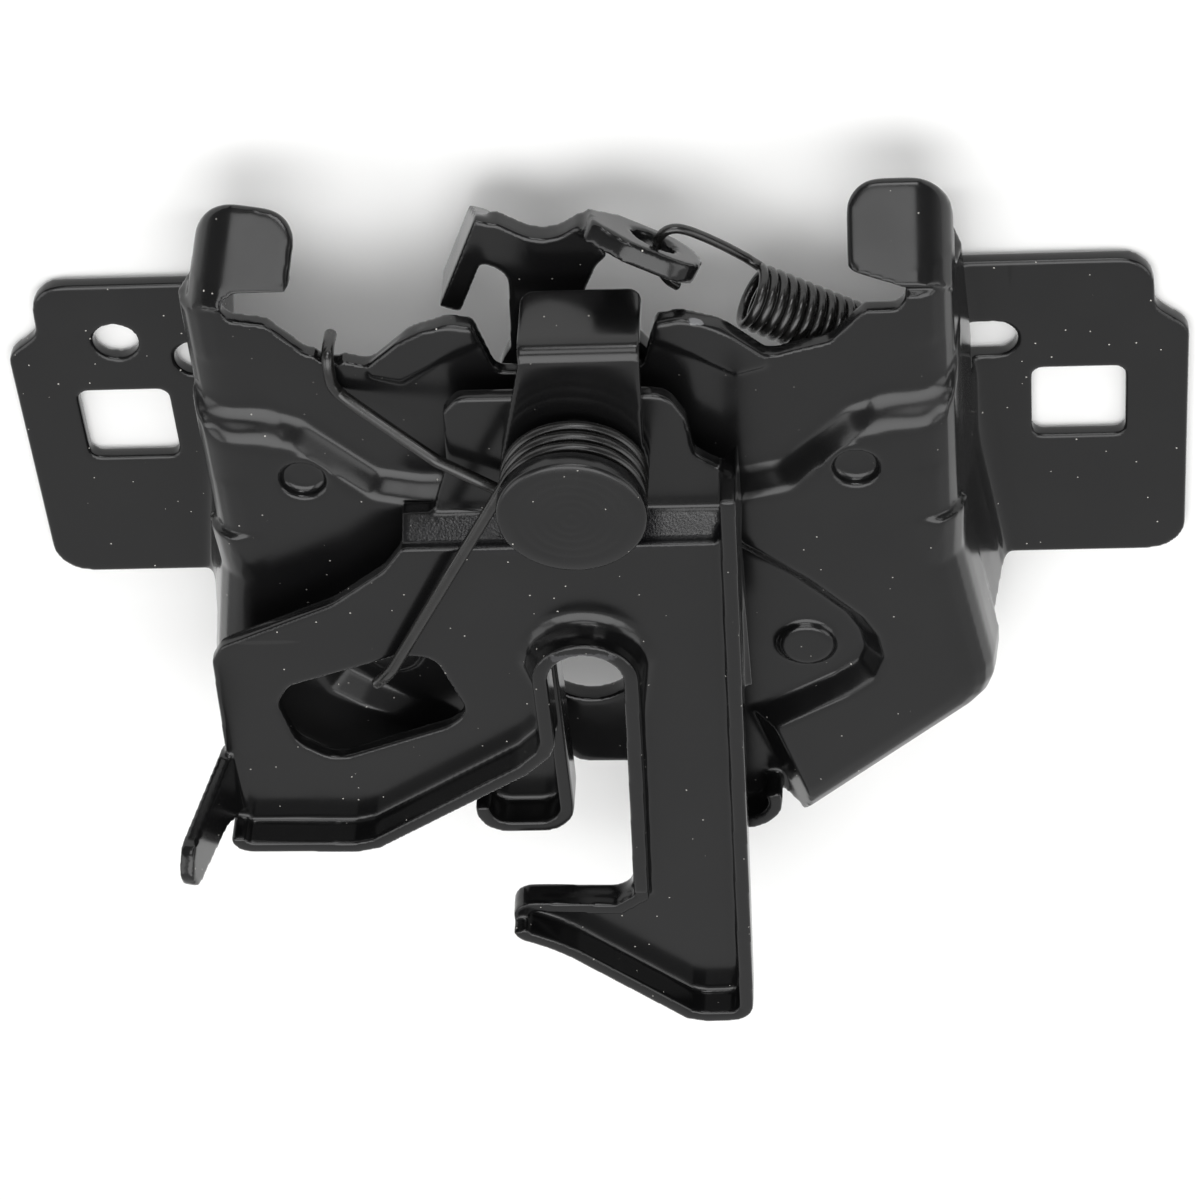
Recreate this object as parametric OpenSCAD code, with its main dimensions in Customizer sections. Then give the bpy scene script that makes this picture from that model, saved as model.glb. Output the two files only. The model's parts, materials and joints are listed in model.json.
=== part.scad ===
// Bonnet latch: pan-shaped bracket, front safety hook, rear primary hook and two springs.
// Millimetres. +X right, +Z up, the viewer's side is -Y.
// Origin: midway between the two square bolt holes, on the rear mounting plane.
// Depths are given as f, the distance in front of the mounting plane (y = -f).

/* [Mounting wings] */
// Overall width over the wings
width = 190; // [170:1:210]
// Distance between the square bolt holes
bolt_span = 155; // [145:0.5:165]
// Side of the square bolt holes
bolt_hole = 15; // [9:0.5:16]
// Height of the wing above the bolt holes
wing_up = 30.8; // [24:0.2:34]
// Height of the wing below the bolt holes
wing_down = 34.6; // [28:0.2:38]
// Diameter of the round locating hole
locate_d = 7.4; // [5:0.1:9]

/* [Bracket] */
// Sheet thickness of the bracket
sheet = 2.5; // [2:0.1:3]
// Depth of the pan, mounting plane to front face
pan = 24; // [20:0.5:28]
// Outer radius of the rolled pan edges
roll = 6; // [4:0.5:8]
// Half width of the pan at the top
half_top = 59.9; // [57:0.1:61]
// Half width of the pan at its lower corners
half_low = 64.9; // [62:0.1:67]
// Height of the raised bow-tie over the pan face
rise = 3.5; // [2:0.1:4.5]
// Half width of the striker slot
slot_half = 7.3; // [6.5:0.1:9]
// Height of the slot collar over the pan face
collar = 5.5; // [3:0.5:6.5]
// Lean of the two ears
ear_lean = 45; // [35:1:50]

/* [Pivot] */
// Sideways place of the pivot and the slot
axis_x = -1; // [-2:0.1:2]
// Height of the pivot
pivot_z = 18.4; // [16:0.2:22]
// Radius of the rivet shank
shank_r = 4; // [3:0.1:5]
// Radius of the rivet head
head_r = 11.7; // [10:0.1:13]
// Thickness of the rivet head
head_t = 3.3; // [2.5:0.1:4.5]

/* [Safety hook] */
// Sheet thickness of the hook plate
hook_t = 2.5; // [2:0.1:3]
// Forward step of the joggle
joggle = 5.5; // [4:0.1:6.5]
// Forward height of the rims over the plate
rim = 5.2; // [3:0.1:6]
// Reach of the finger tab in front of the plate
finger = 23; // [15:0.5:28]

/* [Rear lever] */
// Thickness of the primary hook
lever_t = 3.5; // [3:0.1:4]
// Reach of the cable flange to the rear
cable_reach = 9; // [6:0.5:10]

/* [Springs] */
// Wire diameter of the torsion spring
torsion_wire = 2.0; // [1.6:0.1:2.2]
// Turns of the torsion spring
torsion_turns = 3; // [2:1:3]
// Wire diameter of the extension spring
pull_wire = 1.3; // [1:0.1:1.5]
// Outer diameter of the extension spring
pull_od = 10.5; // [8:0.5:11]

/* [Fits] */
// Radial play of a piece that turns on the rivet
turn_gap = 0.05; // [0.02:0.01:0.08]
// Gap between plates that pass each other
pass_gap = 0.3; // [0.2:0.05:0.5]

/* [Hidden] */
eps = 0.01;
face_r = pan - sheet;
raised = pan + rise;
hook_r = raised + pass_gap;
hook_f = hook_r + hook_t;
low_f = hook_f + joggle;
low_r = low_f - hook_t;
rim_f = low_f + rim;
tip_f = low_f + 2.2;
stop_r = hook_f + pass_gap;
stop_t = 2;
stop_f = stop_r + stop_t;
coil_len = 8.7;
head_rear = stop_f + coil_len;
lever_f = 14.6;
lever_r = lever_f - lever_t;
tail_t = 2;
coil_r = 10.6;
tab_c = [11.8, -lever_f, 46.4];
lug_x = 49;
lug_z = 23.6;
tw = torsion_wire / 2;
pw = pull_wire / 2;
pull_r = pull_od / 2 - pw;
pan_x = -1.45;
dart_z = -7.5;
ear_top = 15.2;
jog_top = 6.2;
jog_low = 2.4;
black = [0.06, 0.06, 0.065];
steel = [0.09, 0.09, 0.09];
wire_c = [0.05, 0.05, 0.05];

// Points of an arc about c.
function arc(c, r, a0, a1, n) = [for (i = [0:n]) c + r * [cos(a0 + (a1 - a0) * i / n), sin(a0 + (a1 - a0) * i / n)]];

// Unit vector.
function unit(v) = v / norm(v);

// Rounded corner at v between the points a and b.
function corner(v, a, b, r, n) = let(
    u = unit(a - v), w = unit(b - v), h = acos(max(-1, min(1, u * w))) / 2,
    c = v + unit(u + w) * r / sin(h), p = v + u * r / tan(h) - c, q = v + w * r / tan(h) - c,
    a0 = atan2(p[1], p[0]), d = (atan2(q[1], q[0]) - a0 + 540) % 360 - 180)
    [for (i = [0:n]) c + r * [cos(a0 + d * i / n), sin(a0 + d * i / n)]];

// Closed outline of [x, z, radius] points with its corners rounded.
function soft(p, n = 6) = let(m = len(p)) [for (i = [0:m - 1])
    each (p[i][2] > 0
        ? corner(xy(p[i]), xy(p[(i + m - 1) % m]), xy(p[(i + 1) % m]), p[i][2], n)
        : [xy(p[i])])];

// First two numbers of a point.
function xy(p) = [p[0], p[1]];

// The same outline mirrored and appended, for shapes equal left and right.
function both(p) = concat(p, [for (i = [len(p) - 1:-1:0]) [-p[i][0], p[i][1], p[i][2]]]);

// Open path moved sideways by d, to the left of its direction.
function beside(p, d) = let(m = len(p)) [for (i = [0:m - 1]) let(
    a = unit(p[max(i, 1)] - p[max(i, 1) - 1]),
    b = unit(p[min(i, m - 2) + 1] - p[min(i, m - 2)]),
    s = unit(a + b), k = 1 / max(0.3, s * a)) p[i] + d * k * [-s[1], s[0]]];

// Closed outline moved inwards by d (outline counter-clockwise).
function inset(p, d) = let(m = len(p)) [for (i = [0:m - 1]) let(
    a = unit(p[i] - p[(i + m - 1) % m]), b = unit(p[(i + 1) % m] - p[i]),
    s = unit(a + b), k = 1 / max(0.3, s * a)) p[i] + d * k * [-s[1], s[0]]];

// Flat band of width w along an open path.
module band(p, w) {
    q = beside(p, w);
    polygon(concat(p, [for (i = [len(q) - 1:-1:0]) q[i]]));
}

// Extrudes an (x, z) outline between the depths f0 and f1.
module slab(f0, f1) {
    translate([0, -f0, 0])
        rotate([90, 0, 0])
            linear_extrude(f1 - f0, convexity = 8)
                children();
}

// Round rod along y between the depths f0 and f1.
module rod(x, z, r, f0, f1, fn = 48) {
    translate([x, -f0, z])
        rotate([90, 0, 0])
            cylinder(r = r, h = f1 - f0, $fn = fn);
}

// Raised land: outline at f0, drawn in by the same amount as it rises to f1; flat lists the faces of its flats.
module land(p, f0, f1, flat) {
    m = len(p);
    q = inset(p, f1 - f0);
    pts = concat([for (a = p) [a[0], -f0, a[1]]], [for (a = q) [a[0], -f1, a[1]]]);
    sides = [for (i = [0:m - 1]) [i, m + i, m + (i + 1) % m, (i + 1) % m]];
    top = [for (k = flat) [for (i = [len(k) - 1:-1:0]) m + k[i]]];
    polyhedron(pts, concat(flat, sides, top), convexity = 6);
}

// Wire swept along a list of points; its frame is carried along without twist.
module wire(p, r, sides = 8) {
    m = len(p);
    function dir(i) = unit(p[min(i + 1, m - 1)] - p[max(i - 1, 0)]);
    function carry(a, t) = unit(a - (a * t) * t);
    first = carry([0.31, 0.77, 0.55], dir(0));
    frames = [for (i = 0, a = first; i < m; i = i + 1, a = carry(a, dir(min(i, m - 1)))) a];
    pts = [for (i = [0:m - 1]) let(t = dir(i), a = frames[i], b = cross(t, a))
        for (j = [0:sides - 1]) p[i] + r * (cos(360 * j / sides) * a + sin(360 * j / sides) * b)];
    quads = [for (i = [0:m - 2], j = [0:sides - 1]) let(n = (j + 1) % sides)
        [i * sides + j, (i + 1) * sides + j, (i + 1) * sides + n, i * sides + n]];
    caps = [[for (j = [0:sides - 1]) j], [for (j = [sides - 1:-1:0]) (m - 1) * sides + j]];
    polyhedron(pts, concat(quads, caps), convexity = 10);
}

// Smooth curve through a list of points, n steps to each span.
function through(p, n = 5) = let(m = len(p)) concat([for (i = [0:m - 2], k = [0:n - 1]) let(
    a = p[max(i - 1, 0)], b = p[i], c = p[i + 1], d = p[min(i + 2, m - 1)], t = k / n)
    0.5 * (2 * b + (c - a) * t + (2 * a - 5 * b + 4 * c - d) * t * t + (3 * b - a - 3 * c + d) * t * t * t)], [p[m - 1]]);

// Side wall seen from the front at the share t of its depth: top, dart and lower corner.
function side_pts(t) = [[57.3 + (half_top - 57.3) * t, 44], [63.1 + (half_top - 63.1) * t, dart_z],
    [67.6 + (half_low - 67.6) * t, -37.8]];
diag_b = [31, -76];
corner_r = 11;

// Line of the outside of the wall, from the ear down and round to the slot's mouth.
function wall_path(t) = let(p = side_pts(t), d = p[2] - p[1], n = atan2(d[1], d[0]) + 90,
    c = p[2] - corner_r * [cos(n), sin(n)],
    g = atan2(diag_b[1] - c[1], diag_b[0] - c[0]) + acos(corner_r / norm(diag_b - c)))
    concat([p[0], p[1]], [for (i = [0:3]) let(a = n + (g - n) * i / 3) c + corner_r * [cos(a), sin(a)]], [diag_b]);

// Outline of the pan carried on by e at its top and bottom, counter-clockwise.
function pan_line(e, t) = let(q = wall_path(t), n = len(q), u = unit(q[0] - q[1]), v = unit(q[n - 1] - q[n - 2]),
    w = concat([q[0] + e * u], [for (i = [1:n - 2]) q[i]], [q[n - 1] + e * v]))
    concat([for (i = [n - 1:-1:0]) w[i]], [for (k = w) [-k[0], k[1]]]);

// Right half of the trimmed edge of the pan: slot mouth, slanted end of the diagonal, top.
pan_ends = [[20, -72], [26.6, -67.8], [diag_b[0] + 3.1, diag_b[1] - 8], [80, diag_b[1] - 8], [80, 44]];

// A section carried along the line from a to b: first axis outwards, second axis forwards.
module wall_run(a, b, over = 0) {
    d = b - a;
    translate([a[0], 0, a[1]])
        rotate([0, -atan2(d[1], d[0]), 0])
            rotate([0, 90, 0])
                translate([0, 0, -over])
                    linear_extrude(norm(d) + 2 * over)
                        rotate(180)
                            children();
}

// Solid between stacked outlines with equal numbers of points; depths rise from first to last.
module stack(rings, depths) {
    m = len(rings[0]);
    n = len(rings);
    pts = [for (k = [0:n - 1], q = rings[k]) [q[0], -depths[k], q[1]]];
    sides = [for (k = [0:n - 2], i = [0:m - 1], h = [0, 1]) let(j = (i + 1) % m, a = k * m)
        h == 0 ? [a + i, a + m + i, a + m + j] : [a + i, a + m + j, a + j]];
    polyhedron(pts, concat([[for (i = [0:m - 1]) i]], sides, [[for (i = [m - 1:-1:0]) (n - 1) * m + i]]), convexity = 6);
}

// The pan as a full solid with its face at the depth f, drawn in by d, with its rolled edge, open at top and bottom.
module pan_solid(d, rear, f) {
    r = roll - d;
    steps = [0, 22.5, 45, 67.5, 90];
    line = pan_line(25, 1);
    translate([pan_x, 0, 0])
        stack(concat([inset(pan_line(25, rear / (pan - roll)), d)], [for (t = steps) inset(line, d + r * (1 - cos(t)))]),
            concat([rear], [for (t = steps) f - roll + r * sin(t)]));
}

// Raised field of the pan: bow-tie with sloped edges that runs out into the rolled sides.
module raised_field() {
    intersection() {
        pan_solid(0.06, 8, raised);
        translate([pan_x, 0, 0])
            union() {
                land(inset(bow, -0.5), pan - 0.5, raised + 0.5, bow_flat);
                for (s = [0, 1])
                    mirror([s, 0, 0]) {
                        slab(16, pan - 0.3)
                            polygon([[46, 13], [80, 13], [80, -90], [38, -90], [31.5, -68], [46, -44]]);
                        translate([46, 0, 0])
                            rotate([90, 0, 90])
                                linear_extrude(34)
                                    polygon([[-16, 31.6], [0.4 - pan, 24], [0.4 - pan, 12], [-16, 12]]);
                    }
            }
    }
}

// Everything above the shaped top edge, between the two necks.
module top_cut() {
    slab(face_r - 1, pan + 1)
        translate([pan_x, 0])
            polygon(soft(both([[52.2, 70, 0], [52.2, 42.4, 2], [46, 41.2, 1.5], [40.6, 34.9, 3], [34.6, 33.2, 2],
                [31, 32, 2], [24, 38.6, 6], [18, 40.8, 3], [14, 40, 1], [11.4, 30, 2]])));
    slab(pan - 12, pan + 1)
        for (s = [0, 1])
            translate([pan_x, 0])
                mirror([s, 0])
                    translate([50, 44.6]) {
                        circle(2.2, $fn = 24);
                        translate([-9, -2.2])
                            square([9, 4.4]);
                    }
}

// Distance from the frame's middle to the foot of the wall on the side s, at the height z.
function root(z, s) = let(p = side_pts(0.2)) s * pan_x + (z > p[1][1]
    ? p[0][0] + (p[1][0] - p[0][0]) * (p[0][1] - z) / (p[0][1] - p[1][1])
    : p[1][0] + (p[2][0] - p[1][0]) * (p[1][1] - z) / (p[1][1] - p[2][1]));

// Wing of one side, with its bolt hole and slot.
module wing(s) {
    x1 = width / 2;
    b = bolt_hole / 2;
    bx = bolt_span / 2;
    mirror([s < 0 ? 1 : 0, 0, 0])
        difference() {
            slab(0, sheet)
                polygon(soft([[root(wing_up, s) - 0.6, wing_up, 0], [root(dart_z, s) - 0.6, dart_z, 0],
                    [root(-wing_down, s) - 0.6, -wing_down, 0], [x1, -wing_down, 6],
                    [x1, wing_up - 15, 4], [x1 - 5.4, wing_up - 10.5, 3], [x1 - 6, wing_up, 5.5]], 5));
            slab(-1, sheet + 1)
                polygon(soft([[bx - b, -b, 1.6], [bx + b, -b, 1.6], [bx + b, b, 1.6], [bx - b, b, 1.6]], 3));
        }
}

// Bend between the pan wall and the wing.
module bend(s) {
    r0 = 2.5;
    top = [root(wing_up - 0.3, s), wing_up - 0.3];
    mid = [root(dart_z, s), dart_z];
    low = [root(0.3 - wing_down, s), 0.3 - wing_down];
    mirror([s < 0 ? 1 : 0, 0, 0])
        for (run = [[top, mid + 0.4 * unit(mid - top)], [mid - 0.4 * unit(low - mid), low]])
            wall_run(run[0], run[1])
                polygon(concat([[-1.6, 1], [r0 + 1, 1], [r0 + 1, sheet]], arc([r0, r0 + sheet], r0, 270, 180, 4),
                    [[-1.6, r0 + sheet]]));
}

// Striker slot with flared mouth.
module slot_cut() {
    translate([axis_x, 0])
        polygon(concat([[slot_half + 6, -90]], arc([slot_half + 6, -67], 6, 270, 180, 8),
            arc([0, -19.5], slot_half, 0, 180, 24), arc([-slot_half - 6, -67], 6, 0, -90, 8), [[-slot_half - 6, -90]]));
}

// Path of the slot collar, from the right end round the arch to the left end.
collar_path = concat(arc([21.5, -66.4], 6.6, 20, -90, 6), arc([slot_half + 6, -67], 6, 270, 180, 8),
    arc([0, -19.5], slot_half, 0, 180, 24), arc([-slot_half - 6, -67], 6, 0, -90, 8),
    arc([-18.6, -67.4], 5.6, 270, 170, 6));

// Raised bow-tie, right half from the middle of its lower line round to the middle of its upper line.
bow_half = [[22.4, -7.6], [32.8, -16.4], [40.8, -25.2], [42.8, -29.2], [43.4, -33], [42.2, -36.4], [38.4, -39.6],
    [24.2, -48.4], [36, -90], [70, -90], [80, -60], [80, -10], [80, 23.8], [48.4, 23.2],
    [42.6, 20.8], [31.6, 9.6], [25, 8]];
bow = concat(bow_half, [for (i = [len(bow_half) - 1:-1:0]) [-bow_half[i][0], bow_half[i][1]]]);

// Flats of the bow-tie as convex faces: its middle, then its right half and the same mirrored.
bow_right = [[0, 1, 15, 16], [1, 14, 15], [1, 11, 12, 13, 14], [1, 2, 11], [2, 10, 11], [2, 3, 10], [3, 4, 10],
    [4, 5, 10], [5, 9, 10], [5, 6, 9], [6, 7, 9], [7, 8, 9]];
bow_last = len(bow) - 1;
bow_flat = concat([[0, 16, 17, bow_last]], bow_right,
    [for (k = bow_right) [for (i = [len(k) - 1:-1:0]) bow_last - k[i]]]);

// Hollow behind one lobe of the bow-tie.
module lobe_hollow() {
    slab(face_r - 1, raised - sheet)
        polygon(soft([[30, 2, 2], [35.6, 6, 2], [45, 15.6, 2], [49, 17.4, 2], [49.8, -12, 2], [41.4, -8.4, 3], [32.4, 0, 1]]));
}

// One ear: the rolled corner carried up and back, with a rounded top.
module ear(s) {
    translate([s < 0 ? pan_x + 1.4 : pan_x, -face_r, 45.4])
        mirror([s < 0 ? 1 : 0, 0, 0])
            rotate([-ear_lean, 0, 0])
                translate([half_top, face_r, 0])
                    rotate([0, s < 0 ? -9 : 0, 0])
                        translate([-half_top, 0, 0])
                    intersection() {
                        union() {
                            slab(face_r, pan)
                                translate([43.6, -1.6])
                                    square([half_top - roll + 0.5 - 43.6, 20]);
                            translate([half_top, 0, -1.6])
                                mirror([0, 1, 0])
                                    linear_extrude(20)
                                        ear_section();
                        }
                        slab(pan - 6.5, pan + 1)
                            polygon(soft([[43.6, 1.5, 2], [51.8, -1.4, 0], [half_top + 1, -1.5, 0], [half_top + 1, 4, 0],
                                [half_top - 0.6, ear_top, 6.5], [43.6, ear_top, 5]]));
                    }
}

// Section of an ear's rolled side.
module ear_section() {
    c = [-roll, pan - roll];
    polygon(concat([[0, pan - 9]], arc(c, roll, 0, 90, 4), arc(c, roll - sheet, 90, 0, 4), [[-sheet, pan - 9]]));
}

// Lug behind the pan that holds the far end of the extension spring.
module spring_lug() {
    translate([lug_x, 0, 0])
        rotate([90, 0, 90])
            linear_extrude(sheet)
                difference() {
                    polygon(soft([[-face_r - 0.5, lug_z - 4.4, 0], [-10.4, lug_z - 4.4, 3], [-10.4, lug_z + 4.4, 3],
                        [-face_r - 0.5, lug_z + 4.4, 0]]));
                    translate([-lever_f, lug_z])
                        circle(2.2, $fn = 32);
                }
}

// The stamped bracket.
module main_bracket() {
    color(black)
        difference() {
            union() {
                difference() {
                    intersection() {
                        union() {
                            pan_solid(0, 0, pan);
                            raised_field();
                        }
                        slab(-1, raised + 1)
                            polygon(concat(pan_ends, [for (i = [len(pan_ends) - 1:-1:0]) [-pan_ends[i][0], pan_ends[i][1]]]));
                    }
                    pan_solid(sheet, -5, pan);
                    slab(-1, lever_f + 0.9)
                        translate([-80, -90])
                            square([160, 90 - wing_down - 0.6]);
                    top_cut();
                }
                translate([axis_x, 0, 0])
                    slab(pan - 0.5, pan + collar)
                        band(collar_path, -sheet);
                spring_lug();
                for (s = [-1, 1]) {
                    ear(s);
                    wing(s);
                    bend(s);
                    rod(pan_x + s * 34.05, -32.3, 4.6, pan - 0.5, pan + 1.2);
                }
            }
            slab(face_r - 1, pan + collar + 1)
                slot_cut();
            for (s = [0, 1])
                translate([pan_x, 0, 0])
                    mirror([s, 0, 0])
                        lobe_hollow();
            for (s = [0, 1])
                mirror([s, 0, 0])
                    slab(-1, 6.2)
                        polygon(soft([[59.4, 10.6, 1], [67.9, 10.6, 3.6], [67.9, 17.9, 3.6], [59.4, 17.9, 1]], 5));
            rod(-76.9, 18.4, locate_d / 2, -1, sheet + 1);
            for (s = [-1, 1])
                rod(pan_x + s * 43.65, 10.8, 3.65, raised - 1.7, raised + 1);
            rod(axis_x, pivot_z, shank_r, face_r - 1, pan + 1);
            slab(face_r - 1, pan + 1)
                polygon([[-40.2, 33.6], [-36.6, 32.6], [-36.6, 40], [-40.2, 40]]);
        }
}

// Upper, flat part of the safety hook plate.
upper_pts = [[-25, jog_top - 1, 0], [24, jog_top - 1, 0], [24, 12.4, 1.5], [17.4, 17.6, 3], [16.6, 25, 3],
    [14, 30.4, 4], [-18.6, 30.8, 3], [-21, 27.6, 2], [-21.6, 16, 6]];

// Lower part: left lobe, slot, leg and hook.
slot_c = [-2.35, -22.9];
slot_r = 6.15;
low_pts = [[24, jog_low + 1, 0], [-29.6, jog_low + 1, 0], [-33, -1.6, 8], [-42, -9, 10], [-61.5, -18.4, 3.5],
    [-63.4, -22, 3], [-65, -63.6, 3], [-41.6, -64.2, 4], [-11, -43.4, 3]];

// Outline of the leg and the hook below the slot.
leg_pts = [[slot_c[0] + slot_r, -24, 0], [slot_c[0] + slot_r - 2.2, -74, 0], [0.6, -82.4, 4], [-14, -81.8, 2],
    [-19.8, -81.8, 3.4], [-19.8, -87.6, 3.2], [-13.6, -90.8, 3], [9.2, -111.4, 3], [19.9, -111, 4], [24, 10, 0]];

// Window in the left lobe.
window_pts = [[-54, -32.4, 4], [-51.6, -28.2, 3], [-32.8, -21.4, 6], [-27, -22, 4], [-22.8, -35.6, 4],
    [-26.4, -38.8, 4], [-46, -46.6, 5], [-52, -42, 5]];

// Plan of the lower part as one outline.
module low_plan() {
    difference() {
        union() {
            polygon(soft(low_pts));
            polygon([[-29.6, jog_low + 1], [-11, -43.4], [slot_c[0] - slot_r - hook_t, -40], [slot_c[0], -30], [24, -30],
                [24, jog_low + 1]]);
            polygon(soft(leg_pts));
        }
        slot_plan();
        polygon(soft(window_pts));
    }
}

// Slot of the hook plate, open downwards.
module slot_plan() {
    polygon(concat(arc(slot_c, slot_r, 0, 180, 24), [[slot_c[0] - slot_r, -70], [slot_c[0] + slot_r - 2.1, -72]]));
}

// Path of the tall forward rim: lobe bottom, slot, leg inside.
rim_path = concat([[-64.9, -60]], arc([-62, -60.7], 3, 180, 272, 4), [[-44, -64.2]], [[-40, -63.2]],
    [[-13.6, -45.2]], [[-9.6, -41]], [[slot_c[0] - slot_r, -38]], [for (i = [20:-1:0]) arc(slot_c, slot_r, 0, 180, 20)[i]],
    [[slot_c[0] + slot_r - 1, -48]], [[slot_c[0] + slot_r - 2.2, -76]]);

// Path of the rim along the right edge and under the hook.
tip_c = [-16.2, -85.4];
right_path = concat([[24.1, 17.6]], [[20.3, -106]], arc([16.2, -107.2], 4, 0, -90, 6), [[11.6, -111.3]],
    [[8.4, -110.4]], [[-10.6, -93]], [[-13.6, -90.8]], arc(tip_c, 3.6, 258, 190, 4));

// Path of the low rim round the tip and along the top of the hook.
tip_path = concat(arc(tip_c, 3.6, 230, 90, 8), [[-13, -82]], [[-2, -82.6]], [[1.4, -80]],
    [[slot_c[0] + slot_r - 2.2, -75]]);

// The front hook plate.
module safety_hook() {
    color(black)
        difference() {
            union() {
                slab(hook_r, hook_f)
                    polygon(soft(upper_pts));
                joggle_wall();
                slab(low_r, low_f)
                    low_plan();
                slab(low_f - 0.5, rim_f)
                    band(rim_path, hook_t);
                slab(low_f - 0.5, rim_f)
                    band(right_path, -hook_t);
                slab(low_f - 0.5, tip_f)
                    band(tip_path, -hook_t);
                slab(hook_r, low_f)
                    polygon([[21.4, jog_low], [24, jog_low], [24.1, 17.6], [21.4, 14.4]]);
                finger_tab();
            }
            rod(axis_x, pivot_z, shank_r + turn_gap, hook_r - 1, hook_f + 1);
        }
}

// Sloped wall between the two levels of the plate.
module joggle_wall() {
    translate([-29.6, 0, 0])
        rotate([90, 0, 90])
            linear_extrude(24 + 29.6)
                polygon([[-hook_r, jog_top], [-hook_f, jog_top], [-low_f, jog_low], [-low_f, jog_low - 1],
                    [-low_r, jog_low - 1], [-low_r, jog_low - 1 + hook_t / 3], [-hook_r, jog_top - 1.6]]);
}

// Finger tab bent forwards from the left edge.
module finger_tab() {
    translate([-65, -low_r, 0])
        rotate([0, 0, -12])
            rotate([90, 0, -90])
                translate([0, 0, -hook_t])
                    linear_extrude(hook_t)
                        polygon(soft([[0, -44.6, 0], [finger, -44.6, 3], [finger + hook_t, -49, 3],
                            [finger + hook_t - 1, -53, 3], [9, -54.6, 5], [4, -57.8, 2], [0, -57.8, 0]]));
}

// Plate under the coil with the flap that goes back through the notch.
module stop_plate() {
    x = axis_x + 2.2;
    color(black)
        difference() {
            union() {
                slab(stop_r, stop_f)
                    polygon(concat(arc([axis_x, pivot_z], 11.6, 160, 380, 30), [[x + 9.3, 39.5], [x - 9.3, 39.5]]));
                flap(x);
            }
            rod(axis_x, pivot_z, shank_r, stop_r - 1, stop_f + 1);
        }
}

// Quarter bend and flap of the stop plate.
module flap(x) {
    r = 3;
    translate([x - 9.3, -stop_f + r, 39.5 - eps])
        rotate([90, 0, 90])
            linear_extrude(18.6)
                intersection() {
                    difference() {
                        circle(r, $fn = 32);
                        circle(r - stop_t, $fn = 32);
                    }
                    translate([-r - 1, 0])
                        square(r + 1);
                }
    translate([0, 0, 39.5 + r - stop_t])
        linear_extrude(stop_t)
            polygon(soft([[x - 9.3, -stop_f + r - eps, 0], [x + 9.3, -stop_f + r - eps, 0],
                [x + 9.3, -18.6, 2.4], [x - 9.3, -18.6, 2.4]]));
}

// Rivet: big turned head, shank and upset tail.
module pivot_rivet() {
    color(black)
        translate([axis_x, 0, pivot_z])
            rotate([90, 0, 0])
                rotate_extrude($fn = 72)
                    polygon([[0, lever_r - pass_gap - tail_t - 3], [4.6, lever_r - pass_gap - tail_t - 3],
                        [6.4, lever_r - pass_gap - tail_t - 1.6], [6.4, lever_r - pass_gap - tail_t],
                        [shank_r, lever_r - pass_gap - tail_t], [shank_r, head_rear], [head_r, head_rear],
                        [head_r, head_rear + head_t - 0.6], [head_r - 0.6, head_rear + head_t], [0, head_rear + head_t]]);
}

// Ring about the pivot.
module ring(r0, r1, f0, f1) {
    difference() {
        rod(axis_x, pivot_z, r1, f0, f1, 64);
        rod(axis_x, pivot_z, r0, f0 - 1, f1 + 1, 64);
    }
}

// Sleeve inside the coil.
module spring_sleeve() {
    color(steel)
        ring(shank_r, coil_r - tw - 0.5, stop_f, head_rear);
}

// Spacer between the bracket and the hook plate.
module hook_spacer() {
    color(steel)
        ring(shank_r, 6.2, pan, hook_r - pass_gap);
}

// Bush between the bracket and the rear lever.
module lever_bush() {
    color(steel)
        ring(shank_r, 9, lever_f + pass_gap, face_r);
}

// Washer under the upset tail.
module tail_washer() {
    color(steel)
        ring(shank_r, 9, lever_r - pass_gap - tail_t, lever_r - pass_gap);
}

// Torsion spring: coil, long rear leg hooked over the bracket's edge, front leg into the window.
module torsion_spring() {
    f0 = stop_f + tw + 0.2;
    f1 = head_rear - tw - 0.2;
    a0 = 238;
    a1 = 152 + 360 * torsion_turns;
    c = [axis_x, 0, pivot_z];
    n = 84;
    edge = pan + tw + 0.5;
    coil = [for (i = [0:n]) let(a = a0 + (a1 - a0) * i / n)
        c + [coil_r * cos(a), -(f0 + (f1 - f0) * i / n), coil_r * sin(a)]];
    rear = through([[-38.4, -face_r + 2, 35], [-38.4, -pan + 1, 35.6], [-38.4, -edge + 0.7, 35], [-38.4, -edge, 32.6],
        [-38.1, -edge, 29.6], [-35.6, -edge - 0.6, 26.6], [-22.5, -hook_f - tw - 0.8, 19.2]]);
    front = [[-33.4, -low_f - 2.4, -21.4], [-34.8, -low_f - 1.6, -24], [-37, -low_f + 0.4, -28]];
    color(wire_c)
        wire(concat(rear, coil, front), tw);
}

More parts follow.
